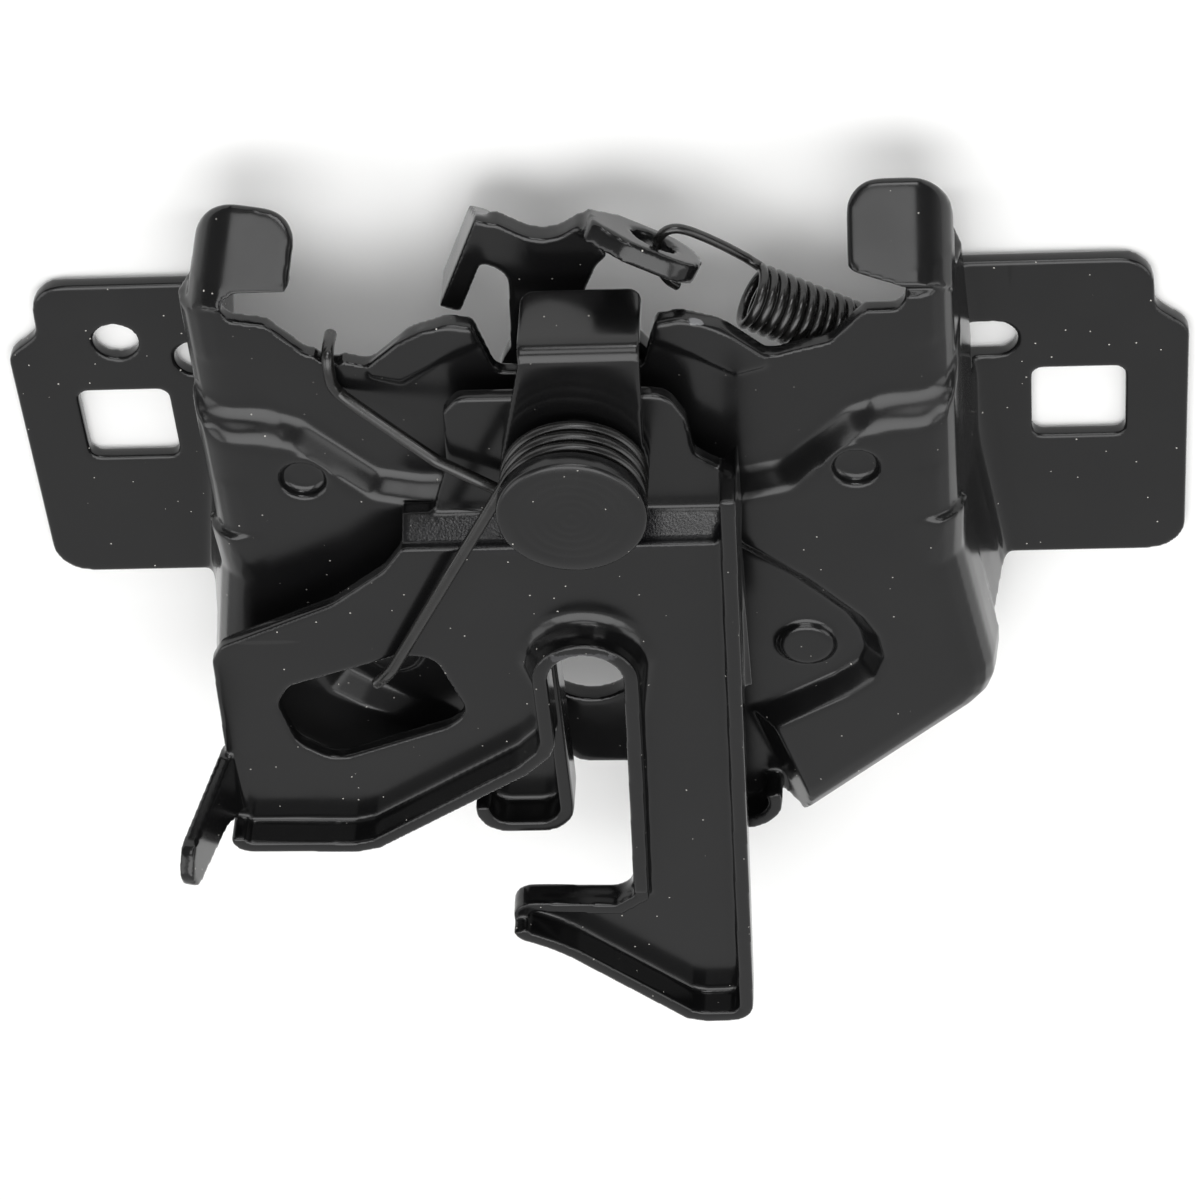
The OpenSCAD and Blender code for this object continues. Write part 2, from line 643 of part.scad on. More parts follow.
// Rear lever with jaw, stem, cable flange and spring tab.
module primary_hook() {
    jaw = [-5, -48.4];
    color(black)
        difference() {
            union() {
                slab(lever_r, lever_f)
                    difference() {
                        union() {
                            polygon(soft([[3.4, 10, 0], [3.4, -44, 0], [-12, -51, 3], [-13, -66, 5], [-8.6, -72, 3],
                                [14, -72.5, 6], [21, -58, 12], [19, -20, 20], [13, 12, 0]]));
                            translate([axis_x, pivot_z])
                                circle(13, $fn = 64);
                            polygon(soft([[-12, 18, 0], [0, 18, 0], [0, 35, 3], [3.4, 43, 1.5], [5.2, 45, 0], [2.2, 52.4, 1.2],
                                [-4.2, 47.6, 6], [-11.2, 52.4, 0], [-12.6, 52.2, 0], [-15.4, 44.8, 0], [-10.4, 42.2, 4]]));
                        }
                        translate(jaw)
                            circle(7.6, $fn = 48);
                        translate([jaw[0] - 7.6, jaw[1]])
                            square([15.2, 13]);
                    }
                cable_flange();
                spring_tab();
            }
            rod(axis_x, pivot_z, shank_r + turn_gap, lever_r - 1, lever_f + 1);
            tab_place()
                cylinder(r = 3.7, h = 12, center = true, $fn = 32);
        }
}

// Flange bent to the rear for the release cable.
module cable_flange() {
    translate([-18.5, -lever_f, 34.1])
        rotate([0, -68, 0])
            linear_extrude(lever_t)
                polygon([[0, 0], [19.3, 0], [19.3, 1.6], [14.4, cable_reach], [0, cable_reach]]);
}

// Place of the spring tab: its hole's middle, leaning along the spring.
module tab_place() {
    translate(tab_c)
        rotate([0, 31, 0])
            rotate([-25, 0, 0])
                children();
}

// Leaning tab that the extension spring hooks into.
module spring_tab() {
    tab_place()
        linear_extrude(lever_t, center = true)
            polygon(soft([[-11, -3.2, 0], [-5, -6.7, 4], [8.2, -6.7, 6.2], [8.2, 6.7, 6.2], [-5, 6.7, 4], [-11, 3, 0]]));
}

// Extension spring from the lever tab down to the lug behind the pan.
module extension_spring() {
    p0 = [26.6, -lever_f, 36.5];
    ax = [cos(30.6), 0, -sin(30.6)];
    p1 = p0 + 19 * ax;
    u = [sin(30.6), 0, cos(30.6)];
    v = [0, -1, 0];
    turns = 11.3;
    n = 158;
    coil = [for (i = [0:n]) let(a = 360 * turns * i / n - 40)
        p0 + (p1 - p0) * i / n + pull_r * (cos(a) * u + sin(a) * v)];
    hook = through([[15.6, -14.2, 38.4], [14.2, -14.6, 40.2], [13, -14.6, 43], [12.9, -14.6, 46.4], [13.6, -14.6, 49],
        [15.4, -14.5, 50.4], [18, -14.1, 49.6], [22.6, -12.9, 45.6], [26.4, -11.8, 41.6]], 3);
    tail = through([p1 + [1.6, -1.6, 1.4], p1 + [3.2, -0.4, -0.9], [lug_x - 0.4, -lever_f, lug_z + 0.9],
        [lug_x + 2.9, -lever_f, lug_z - 1], [lug_x + 4.6, -lever_f, lug_z - 2.8], [lug_x + 4.5, -lever_f, lug_z - 5.2]], 3);
    color(wire_c)
        wire(concat(hook, coil, tail), pw, 6);
}

main_bracket();
safety_hook();
stop_plate();
pivot_rivet();
spring_sleeve();
hook_spacer();
lever_bush();
tail_washer();
torsion_spring();
primary_hook();
extension_spring();
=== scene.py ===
"""Looks of a bonnet latch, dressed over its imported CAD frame.

The pressed pieces start from the CAD solids, take on the small pressed details that the
solids leave out, and are rounded as a press tool rounds sheet steel. The wire springs and
the turned rivet are modelled afresh. Sizes are written in millimetres and turned to metres,
in the frame of the CAD part; a depth is a distance in front of the mounting plane, along -Y.
"""

from __future__ import annotations

import json
import logging
import math
from collections.abc import Callable
from dataclasses import dataclass
from enum import Enum
from functools import partial
from typing import Any

import bmesh
import bpy
from mathutils import Matrix, Vector

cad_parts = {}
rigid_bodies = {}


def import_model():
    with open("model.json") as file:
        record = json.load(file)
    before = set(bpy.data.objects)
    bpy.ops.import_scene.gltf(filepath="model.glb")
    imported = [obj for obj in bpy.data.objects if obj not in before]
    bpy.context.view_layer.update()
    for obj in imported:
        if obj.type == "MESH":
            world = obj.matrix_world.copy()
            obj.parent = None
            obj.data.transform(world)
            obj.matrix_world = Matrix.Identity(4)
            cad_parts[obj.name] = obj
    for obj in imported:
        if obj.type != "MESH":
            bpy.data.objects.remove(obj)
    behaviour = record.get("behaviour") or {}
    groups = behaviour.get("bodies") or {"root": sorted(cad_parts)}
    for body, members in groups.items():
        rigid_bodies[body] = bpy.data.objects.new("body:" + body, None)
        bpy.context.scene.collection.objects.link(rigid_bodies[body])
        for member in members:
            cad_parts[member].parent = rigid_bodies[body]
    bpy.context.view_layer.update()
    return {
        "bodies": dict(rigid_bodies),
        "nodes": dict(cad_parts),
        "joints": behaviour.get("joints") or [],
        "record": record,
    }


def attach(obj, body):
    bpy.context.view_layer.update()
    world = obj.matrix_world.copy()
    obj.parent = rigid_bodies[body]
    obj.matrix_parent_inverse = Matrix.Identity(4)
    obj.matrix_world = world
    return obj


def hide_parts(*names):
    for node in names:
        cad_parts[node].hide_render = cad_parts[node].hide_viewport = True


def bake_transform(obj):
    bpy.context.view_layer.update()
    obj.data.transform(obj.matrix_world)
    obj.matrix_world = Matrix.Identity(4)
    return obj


LOG = logging.getLogger("bonnet_latch")
MM = 0.001
PIVOT = Vector((-1.0, 0.0, 18.4)) * MM
WELD = 1e-6  # metres within which the points of a solid are one
WIRE_WELD = 1e-7  # the same for a wire
SMOOTHING = 0.5  # how far a round of smoothing takes a point to its neighbours' middle
NOISE_LOW, NOISE_HIGH = 0.3, 0.7  # where most of a noise texture's values lie
COLOUR_A, COLOUR_B, COLOUR_OUT = 6, 7, 2  # sockets of a Mix node that mixes colours
VALUE_A, VALUE_B = 2, 3  # sockets of a Mix node that mixes numbers
WHITE = "#ffffff"

Pair = tuple[float, float]
Point = tuple[float, float, float]
Adder = Callable[..., bpy.types.Node]  # add() with its tree


class Body(Enum):
    """Moving bodies of the latch, by their names in the record."""

    BRACKET = "bracket"
    FRONT_HOOK = "front_hook"
    REAR_LEVER = "rear_lever"


class Slot(Enum):
    """Material slots of the record."""

    BRACKET_PAINT = "bracket_paint"
    HOOK_PAINT = "hook_paint"
    LEVER_PAINT = "lever_paint"
    RIVET_STEEL = "rivet_steel"
    DARK_STEEL = "dark_steel"
    SPRING_WIRE = "spring_wire"


def linear(code: str) -> tuple[float, float, float, float]:
    """Turn an sRGB hex colour into linear light.

    Args:
        code: Colour as "#rrggbb".

    Returns:
        Red, green, blue and an alpha of one.
    """
    parts = [int(code[i : i + 2], 16) / 255 for i in (1, 3, 5)]
    light = [c / 12.92 if c <= 0.04045 else ((c + 0.055) / 1.055) ** 2.4 for c in parts]
    return (light[0], light[1], light[2], 1.0)


def bare_tree(owner: bpy.types.Material | bpy.types.World) -> bpy.types.NodeTree:
    """Give a material or a world an empty node tree.

    Args:
        owner: Material or world that is dressed.

    Returns:
        Its node tree.
    """
    owner.use_nodes = True
    owner.node_tree.nodes.clear()
    return owner.node_tree


def add(
    tree: bpy.types.NodeTree, kind: str, inputs: dict[Any, Any] | None = None, **settings: Any
) -> bpy.types.Node:
    """Add one node with its settings and links.

    Args:
        tree: Node tree that takes the node.
        kind: Blender's name of the node type.
        inputs: Socket name or number with a value, or with the output that feeds it.
        settings: Attributes of the node.

    Returns:
        The new node.
    """
    made = tree.nodes.new(kind)
    for name, value in settings.items():
        setattr(made, name, value)
    for key, value in (inputs or {}).items():
        if isinstance(value, bpy.types.NodeSocket):
            tree.links.new(value, made.inputs[key])
        else:
            made.inputs[key].default_value = value
    return made


def per_metre(size_mm: float) -> float:
    """Texture scale, in cycles per metre, of a pattern whose features are size_mm apart."""
    return 1.0 / (size_mm * MM)


@dataclass(frozen=True)
class Mark:
    """A worn or torn spot of a coat, or a painted highlight on it, as an ellipsoid in the part's
    frame.

    Attributes:
        at: Its middle in mm.
        half: Its half sizes in mm.
        colour: What shows there.
        strength: How much of it shows.
        ragged: How far its edge wanders, as a share of its size.
        grain_mm: Height of the torn grain in it.
        wander_mm: Size of the bays in its edge.
        outer: Share of its size at which it has faded out.
        inner: Share of its size up to which it shows in full.
    """

    at: Point
    half: Point
    colour: str
    strength: float = 1.0
    ragged: float = 0.5
    grain_mm: float = 0.0
    wander_mm: float = 0.8
    outer: float = 1.12
    inner: float = 0.88

    def mask(self, node: Adder, place: bpy.types.NodeSocket) -> bpy.types.NodeSocket:
        """Find where the mark lies.

        Args:
            node: What adds a node to the coat.
            place: Object coordinates.

        Returns:
            Output that is the mark's strength inside it and nothing outside.
        """
        spot = node(
            "ShaderNodeMapping",
            {"Vector": place, "Location": Vector(self.at) * MM, "Scale": Vector(self.half) * MM},
            vector_type="TEXTURE",
        )
        far = node("ShaderNodeVectorMath", {0: spot.outputs[0]}, operation="LENGTH")
        wander = node(
            "ShaderNodeTexNoise",
            {"Vector": place, "Scale": per_metre(self.wander_mm), "Detail": 4.0},
        )
        edge = node(
            "ShaderNodeMath",
            {0: wander.outputs["Fac"], 1: 2.0 * self.ragged, 2: far.outputs["Value"]},
            operation="MULTIPLY_ADD",
        )
        inside = node(
            "ShaderNodeMapRange",
            {
                "Value": edge.outputs[0],
                "From Min": self.ragged + self.outer,
                "From Max": self.ragged + self.inner,
                "To Min": 0.0,
                "To Max": self.strength,
            },
        )
        return inside.outputs[0]


# A chip on the cut edge of the right hump; pale marks at the two notch ends, partly bare cut metal
# and partly painted highlight; and a dark line by the right wing's bend.
BRACKET_MARKS_AND_GLINTS = (
    Mark((19.4, -24.2, 40.0), (1.7, 1.0, 0.5), "#77787a", strength=0.9),
    # Painted highlights at the two notch ends, partly bare cut metal.
    Mark((-52.9, -23.0, 45.8), (1.1, 1.2, 0.6), "#77797c", strength=0.8),
    Mark((49.6, -23.0, 45.7), (1.0, 1.2, 0.6), "#6d6f72", strength=0.8),
    Mark((66.8, -2.5, 29.5), (0.3, 1.0, 3.6), "#020202", strength=0.9, ragged=0.2),
)
# The torn band on the hook's joggle, a painted highlight along an edge, and the burr on the slot's
# arch, partly raw cut metal and partly painted glint.
HOOK_MARKS_AND_GLINTS = (
    Mark((-3.0, -32.5, 3.8), (28.0, 4.5, 2.7), "#141416", ragged=0.25, grain_mm=0.035),
    # Painted highlight along an edge of the hook.
    Mark((-54.4, -35.8, -17.4), (5.8, 0.8, 0.45), "#232323", strength=0.6, ragged=0.3),
    # Burr on the arch: raw cut metal, its paler colour partly a painted glint.
    Mark(
        (-2.35, -40.9, -16.9), (5.2, 1.0, 0.9), "#3c3c3e", strength=0.9, ragged=0.6, grain_mm=0.08
    ),
)


@dataclass(frozen=True)
class ElectroCoat:
    """Black electro-coat on pressed steel.

    The dip coat lies smooth and semi-gloss over the sheet, with a faint orange peel, a broad
    waviness where the sheet was drawn, pale specks of dust caught on it, a few chips and torn
    spots where the sheet was cut, and painted highlights on some cut edges.

    Attributes:
        name: Name of the material.
        colour: The coat.
        shade: The coat where it is a little paler.
        dust: The specks.
        ior: Index of refraction of the paint.
        roughness: Of the coat, on average.
        smoother: How much less it is on the smoothest patches.
        rougher: How much more it is on the roughest patches.
        dust_roughness: Of the specks.
        shade_mm: Size of the clouds of the shade.
        patch_mm: Size of the smoother and rougher patches.
        peel_mm: Size of the orange peel.
        peel_height_mm: Height of the orange peel.
        wave_mm: Size of the waves of the sheet.
        wave_height_mm: Height of the waves.
        speck_mm: From speck to speck.
        speck_radius_mm: Radius of a speck.
        specks: Share of the specks that show.
        torn_mm: Size of the grain in a torn mark.
        marks: Worn and torn spots, and painted highlights.
    """

    name: str
    colour: str = "#0c0c0d"
    shade: str = "#131313"
    dust: str = "#c9c6c0"
    ior: float = 1.5
    roughness: float = 0.2
    smoother: float = 0.05
    rougher: float = 0.06
    dust_roughness: float = 0.85
    shade_mm: float = 22.0
    patch_mm: float = 14.0
    peel_mm: float = 0.9
    peel_height_mm: float = 0.003
    wave_mm: float = 9.0
    wave_height_mm: float = 0.012
    speck_mm: float = 2.2
    speck_radius_mm: float = 0.14
    specks: float = 0.5
    torn_mm: float = 0.36
    marks: tuple[Mark, ...] = ()

    def material(self) -> bpy.types.Material:
        """Build the coat.

        Returns:
            The material, on Object coordinates.
        """
        made = bpy.data.materials.new(self.name)
        node = partial(add, bare_tree(made))
        place = node("ShaderNodeTexCoord").outputs["Object"]
        cloud, patch, wave, peel = (
            node(
                "ShaderNodeTexNoise",
                {"Vector": place, "Scale": per_metre(size_mm), "Detail": detail},
            ).outputs["Fac"]
            for size_mm, detail in (
                (self.shade_mm, 4.0), (self.patch_mm, 3.0), (self.wave_mm, 1.0), (self.peel_mm, 2.0)
            )
        )
        base = node(
            "ShaderNodeMix",
            {"Factor": cloud, COLOUR_A: linear(self.colour), COLOUR_B: linear(self.shade)},
            data_type="RGBA",
        )
        speck = self.speck(node, place)
        colour = node(
            "ShaderNodeMix",
            {"Factor": speck, COLOUR_A: base.outputs[COLOUR_OUT], COLOUR_B: linear(self.dust)},
            data_type="RGBA",
        )
        rough = node(
            "ShaderNodeMapRange",
            {
                "Value": patch,
                "From Min": NOISE_LOW,
                "From Max": NOISE_HIGH,
                "To Min": self.roughness - self.smoother,
                "To Max": self.roughness + self.rougher,
            },
        )
        dull = node(
            "ShaderNodeMix",
            {"Factor": speck, VALUE_A: rough.outputs[0], VALUE_B: self.dust_roughness},
            data_type="FLOAT",
        )
        broad = node(
            "ShaderNodeBump",
            {"Height": wave, "Distance": self.wave_height_mm * MM, "Strength": 1.0},
        )
        skin = node(
            "ShaderNodeBump",
            {
                "Height": peel,
                "Distance": self.peel_height_mm * MM,
                "Strength": 1.0,
                "Normal": broad.outputs["Normal"],
            },
        )
        # Each mark mixes its colour into the coat: a worn or torn spot, or a painted highlight.
        for mark in self.marks:
            worn = mark.mask(node, place)
            colour = node(
                "ShaderNodeMix",
                {
                    "Factor": worn,
                    COLOUR_A: colour.outputs[COLOUR_OUT],
                    COLOUR_B: linear(mark.colour),
                },
                data_type="RGBA",
            )
            if mark.grain_mm > 0:
                fine = node(
                    "ShaderNodeTexNoise",
                    {"Vector": place, "Scale": per_metre(self.torn_mm), "Detail": 3.0},
                )
                torn = node(
                    "ShaderNodeMath", {0: fine.outputs["Fac"], 1: worn}, operation="MULTIPLY"
                )
                skin = node(
                    "ShaderNodeBump",
                    {
                        "Height": torn.outputs[0],
                        "Distance": mark.grain_mm * MM,
                        "Strength": 1.0,
                        "Normal": skin.outputs["Normal"],
                    },
                )
        shader = node(
            "ShaderNodeBsdfPrincipled",
            {
                "Base Color": colour.outputs[COLOUR_OUT],
                "Roughness": dull.outputs[0],
                "IOR": self.ior,
                "Normal": skin.outputs["Normal"],
            },
        )
        node("ShaderNodeOutputMaterial", {"Surface": shader.outputs["BSDF"]})
        return made

    def speck(self, node: Adder, place: bpy.types.NodeSocket) -> bpy.types.NodeSocket:
        """Scatter the specks of dust.

        Args:
            node: What adds a node to the coat.
            place: Object coordinates.

        Returns:
            Output that is how much of the dust shows.
        """
        cell = node(
            "ShaderNodeTexVoronoi",
            {"Vector": place, "Scale": per_metre(self.speck_mm), "Randomness": 1.0},
        )
        near = node(
            "ShaderNodeMath",
            {0: cell.outputs["Distance"], 1: self.speck_radius_mm / self.speck_mm},
            operation="LESS_THAN",
        )
        chosen = node("ShaderNodeSeparateColor", {"Color": cell.outputs["Color"]})
        some = node(
            "ShaderNodeMath", {0: chosen.outputs["Red"], 1: self.specks}, operation="LESS_THAN"
        )
        shown = near.outputs[0]
        for share in (some.outputs[0], chosen.outputs["Green"]):
            product = node("ShaderNodeMath", {0: shown, 1: share}, operation="MULTIPLY")
            shown = product.outputs[0]
        return shown


@dataclass(frozen=True)
class DrawnWire:
    """Black oiled spring wire: hard-drawn steel with a fine, faint grain and a clean gloss.

    Attributes:
        name: Name of the material.
        colour: The wire.
        worn: The wire where it is a little worn.
        ior: Index of refraction of the oiled skin.
        roughness: Of the wire, on average.
        smoother: How much less it is on the smoothest patches.
        rougher: How much more it is on the roughest patches.
        patch_mm: Size of the worn and rougher patches.
        grain_mm: Size of the grain.
        grain_height_mm: Height of the grain.
    """

    name: str
    colour: str = "#0b0b0b"
    worn: str = "#1d1c1b"
    ior: float = 1.6
    roughness: float = 0.24
    smoother: float = 0.05
    rougher: float = 0.08
    patch_mm: float = 3.0
    grain_mm: float = 0.5
    grain_height_mm: float = 0.004

    def material(self) -> bpy.types.Material:
        """Build the wire's finish.

        Returns:
            The material, on Object coordinates.
        """
        made = bpy.data.materials.new(self.name)
        node = partial(add, bare_tree(made))
        place = node("ShaderNodeTexCoord").outputs["Object"]
        cloud = node(
            "ShaderNodeTexNoise",
            {"Vector": place, "Scale": per_metre(self.patch_mm), "Detail": 3.0},
        )
        base = node(
            "ShaderNodeMix",
            {
                "Factor": cloud.outputs["Fac"],
                COLOUR_A: linear(self.colour),
                COLOUR_B: linear(self.worn),
            },
            data_type="RGBA",
        )
        rough = node(
            "ShaderNodeMapRange",
            {
                "Value": cloud.outputs["Fac"],
                "From Min": NOISE_LOW,
                "From Max": NOISE_HIGH,
                "To Min": self.roughness - self.smoother,
                "To Max": self.roughness + self.rougher,
            },
        )
        fine = node(
            "ShaderNodeTexNoise",
            {"Vector": place, "Scale": per_metre(self.grain_mm), "Detail": 2.0},
        )
        skin = node(
            "ShaderNodeBump",
            {"Height": fine.outputs["Fac"], "Distance": self.grain_height_mm * MM, "Strength": 1.0},
        )
        shader = node(
            "ShaderNodeBsdfPrincipled",
            {
                "Base Color": base.outputs[COLOUR_OUT],
                "Roughness": rough.outputs[0],
                "IOR": self.ior,
                "Normal": skin.outputs["Normal"],
            },
        )
        node("ShaderNodeOutputMaterial", {"Surface": shader.outputs["BSDF"]})
        return made


def linked(name: str, data: bpy.types.ID) -> bpy.types.Object:
    """Put an object into the scene at the origin.

    Args:
        name: Name of the object.
        data: Its mesh, curve, light or camera.

    Returns:
        The object.
    """
    made = bpy.data.objects.new(name, data)
    bpy.context.scene.collection.objects.link(made)
    return made


def new_object(name: str, mesh: bpy.types.Mesh, material: bpy.types.Material) -> bpy.types.Object:
    """Put a finished mesh into the scene at the origin.

    Args:
        name: Name of the piece.
        mesh: Its mesh, with its place in the vertices.
        material: Its finish.

    Returns:
        The object.
    """
    mesh.materials.clear()
    mesh.materials.append(material)
    for face in mesh.polygons:
        face.use_smooth = True
    return linked(name, mesh)


def settled(holder: bpy.types.Object, name: str) -> bpy.types.Mesh:
    """Take the mesh of an object with its modifiers applied, and remove the object.

    Args:
        holder: Object that carries the modifiers.
        name: Name of the new mesh.

    Returns:
        The mesh.
    """
    bpy.context.view_layer.update()
    seen = holder.evaluated_get(bpy.context.evaluated_depsgraph_get())
    mesh = bpy.data.meshes.new_from_object(seen)
    mesh.name = name
    bpy.data.objects.remove(holder)
    return mesh


def smooth(skin: bmesh.types.BMesh, verts: list[bmesh.types.BMVert], rounds: int) -> None:
    """Smooth points of a mesh.

    Args:
        skin: The mesh.
        verts: Its points that move.
        rounds: Rounds of smoothing.
    """
    for _ in range(rounds):
        bmesh.ops.smooth_vert(
            skin, verts=verts, factor=SMOOTHING, use_axis_x=True, use_axis_y=True, use_axis_z=True
        )


def add_hull(form: bmesh.types.BMesh, points: list[Point]) -> None:
    """Add the convex solid over some points.

    Args:
        form: Mesh that takes the solid.
        points: Points as x, depth and z, in mm.
    """
    verts = [form.verts.new((x * MM, -f * MM, z * MM)) for x, f, z in points]
    made = bmesh.ops.convex_hull(form, input=verts)
    loose = made["geom_interior"] + made["geom_unused"]
    spare = {v for v in loose if isinstance(v, bmesh.types.BMVert)}
    bmesh.ops.delete(form, geom=list(spare), context="VERTS")


@dataclass
class PressedPiece:
    """A piece pressed from sheet steel, rounded from its CAD solid.

    Attributes:
        node: CAD node that gives the shape.
        body: Body that the piece moves with.
        slot: Material slot of the record; not used.
        voxel_mm: Grain of the mesh.
        passes: Rounds of smoothing; an edge rounds off by about the grain times the root of
            half of them.
        faces: Most triangles that the finished mesh keeps.
    """

    node: str
    body: Body
    slot: Slot
    voxel_mm: float = 0.5
    passes: int = 3
    faces: int = 150000

    def details(self, form: bmesh.types.BMesh) -> None:
        """Add the pressed details that the solid leaves out; a plain piece has none."""

    def cutters(self) -> list[list[Point]]:
        """Points of the convex solids that are cut away; a plain piece has none."""
        return []

    def soften(self, skin: bmesh.types.BMesh) -> None:
        """Round off what the press draws in wide curves; a plain piece has nothing of it."""

    def cut(self, form: bmesh.types.BMesh) -> None:
        """Cut the cutters out of the solid.

        Args:
            form: Solid that is cut.
        """
        runs = self.cutters()
        if not runs:
            return
        tools = bmesh.new()
        for run in runs:
            add_hull(tools, run)
        bmesh.ops.recalc_face_normals(tools, faces=tools.faces[:])
        blade = bpy.data.meshes.new(self.node + "_blade")
        tools.to_mesh(blade)
        tools.free()
        solid = bpy.data.meshes.new(self.node + "_solid")
        form.to_mesh(solid)
        blade_holder = linked(self.node + "_blade", blade)
        holder = linked(self.node + "_solid", solid)
        away = holder.modifiers.new("away", "BOOLEAN")
        away.operation = "DIFFERENCE"
        away.solver = "EXACT"
        away.object = blade_holder
        mesh = settled(holder, self.node + "_cut")
        bpy.data.objects.remove(blade_holder)
        form.clear()
        form.from_mesh(mesh)

    def build(self, frame: dict[str, Any], material: bpy.types.Material) -> bpy.types.Object:
        """Make the rounded piece.

        Args:
            material: Finish of the piece.

        Returns:
            The piece, riding on its body in place of the CAD node.
        """
        form = bmesh.new()
        form.from_mesh(frame["nodes"][self.node].data)
        bmesh.ops.remove_doubles(form, verts=form.verts[:], dist=WELD)
        self.cut(form)
        self.details(form)
        rough = bpy.data.meshes.new(self.node + "_form")
        form.to_mesh(rough)
        form.free()
        holder = linked(self.node + "_form", rough)
        grain = self.voxel_mm * 1.0
        fuse = holder.modifiers.new("fuse", "REMESH")
        fuse.mode = "VOXEL"
        fuse.voxel_size = grain * MM
        mesh = settled(holder, self.node + "_fused")
        skin = bmesh.new()
        skin.from_mesh(mesh)
        smooth(skin, skin.verts[:], self.passes)
        self.soften(skin)
        skin.to_mesh(mesh)
        skin.free()
        count = 2 * len(mesh.polygons)
        if count > self.faces:
            holder = linked(self.node + "_lean", mesh)
            lean = holder.modifiers.new("lean", "DECIMATE")
            lean.ratio = self.faces / count
            mesh = settled(holder, self.node + "_skin")
        piece = new_object(self.node + "_pressed", mesh, material)
        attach(piece, self.body.value)
        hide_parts(self.node)
        LOG.info("%s: %d faces from %d", piece.name, len(mesh.polygons), count)
        return piece


@dataclass(frozen=True)
class EarNotch:
    """Notch at the foot of an ear, round at the outer end and open to the middle.

    Attributes:
        side: 1 on the right, -1 on the left.
        x: Middle of the round end, in mm.
        z: Its height, in mm.
        radius: Half the notch's height, in mm.
        length: From the round end's middle to the open end, in mm.
        depths: Rear and front of the cut, in mm.
        steps: Parts of the round end.
    """

    side: int
    x: float
    z: float
    radius: float
    length: float = 9.0
    depths: Pair = (14.0, 28.0)
    steps: int = 12

    def points(self) -> list[Point]:
        """Corners of the cutter.

        Returns:
            Points as x, depth and z, in mm.
        """
        inner = self.x - self.side * self.length
        ring = [(inner, self.z - self.radius), (inner, self.z + self.radius)]
        for i in range(self.steps + 1):
            a = math.radians(180.0 * i / self.steps - 90.0)
            across = self.x + self.side * self.radius * math.cos(a)
            ring.append((across, self.z + self.radius * math.sin(a)))
        return [(x, f, z) for x, z in ring for f in self.depths]


@dataclass(frozen=True)
class Crease:
    """Crease pinched into a side roll of the pan, proud at its top and running out downwards.

    Attributes:
        side: 1 on the right, -1 on the left.
        roll: Middle of the roll in x, in mm.
        tip: Inner end of the crease in x, in mm.
        top: Its upper end in z, in mm.
        foot: Its lower end in z, in mm.
        rear: Depth of its back inside the sheet, in mm.
        fronts: Depths of its inner end at the top and at the foot, in mm.
        drops: How far its inner end's front and back lie below the top, in mm.
        depth: Depth of the roll's middle, in mm.
        reach: How far the top stands off the roll's middle, in mm.
        foot_reach: How far the foot does, to the side and to the front, in mm.
        turns: Where its corners lie round the roll, in degrees.
    """

    side: int
    roll: float
    tip: float
    top: float
    foot: float = -17.0
    rear: float = 22.0
    fronts: Pair = (27.5, 27.2)
    drops: Pair = (0.2, 0.6)
    depth: float = 21.5
    reach: float = 7.1
    foot_reach: Pair = (6.2, 5.6)
    turns: tuple[float, ...] = (0.0, 25.0, 45.0, 65.0)

    def points(self) -> list[Point]:
        """Corners of the crease.

        Returns:
            Points as x, depth and z, in mm.
        """
        points = [
            (self.tip, self.fronts[0], self.top - self.drops[0]),
            (self.tip, self.rear, self.top - self.drops[1]),
            (self.tip, self.rear, self.foot),
            (self.tip, self.fronts[1], self.foot),
        ]
        for turn in self.turns:
            c, s = math.cos(math.radians(turn)), math.sin(math.radians(turn))
            rings = ((self.reach, self.reach, self.top), (*self.foot_reach, self.foot))
            for wide, deep, z in rings:
                points.append((self.roll + self.side * wide * c, self.depth + deep * s, z))
        return points


@dataclass(frozen=True)
class HumpFlat:
    """Pressed flat on a hump of the pan, made of convex forms.

    Attributes:
        side: 1 on the right, -1 on the left.
        shift: How far it is moved in x, in mm.
        outline: Its corners on the right, as x and z in mm.
        forms: Which corners each form has.
        depths: Its back inside the sheet and its face, in mm.
    """

    side: int
    shift: float
    outline: tuple[Pair, ...] = (
        (12.2, 39.6), (16.5, 40.4), (20.0, 39.6),
        (24.0, 37.2), (29.2, 32.4), (28.9, 30.4),
        (24.2, 28.9), (17.5, 33.6), (11.8, 36.7),
    )
    forms: tuple[tuple[int, ...], ...] = ((0, 1, 2, 3, 4, 7, 8), (3, 4, 5, 6, 7))
    depths: Pair = (23.4, 24.55)

    def points(self) -> list[list[Point]]:
        """Corners of the forms.

        Returns:
            Points of each form as x, depth and z, in mm.
        """
        runs = []
        for form in self.forms:
            run = [self.outline[i] for i in form]
            runs.append([(self.side * x + self.shift, f, z) for x, z in run for f in self.depths])
        return runs


@dataclass(frozen=True)
class Zone:
    """Part of the pan that is smoothed more than the rest.

    Attributes:
        side: Limits of the distance from the pan's middle, in mm.
        depth: Limits of the depth, in mm.
        height: Limits in z, in mm.
        rounds: Rounds of smoothing.
        spares_buttons: Whether the buttons stay as they are.
    """

    side: Pair
    depth: Pair
    height: Pair
    rounds: int
    spares_buttons: bool = True

    def holds(self, side: float, depth: float, height: float) -> bool:
        """Say whether a point in mm lies in the zone."""
        return (
            self.side[0] < side < self.side[1]
            and self.depth[0] < depth < self.depth[1]
            and self.height[0] < height < self.height[1]
        )


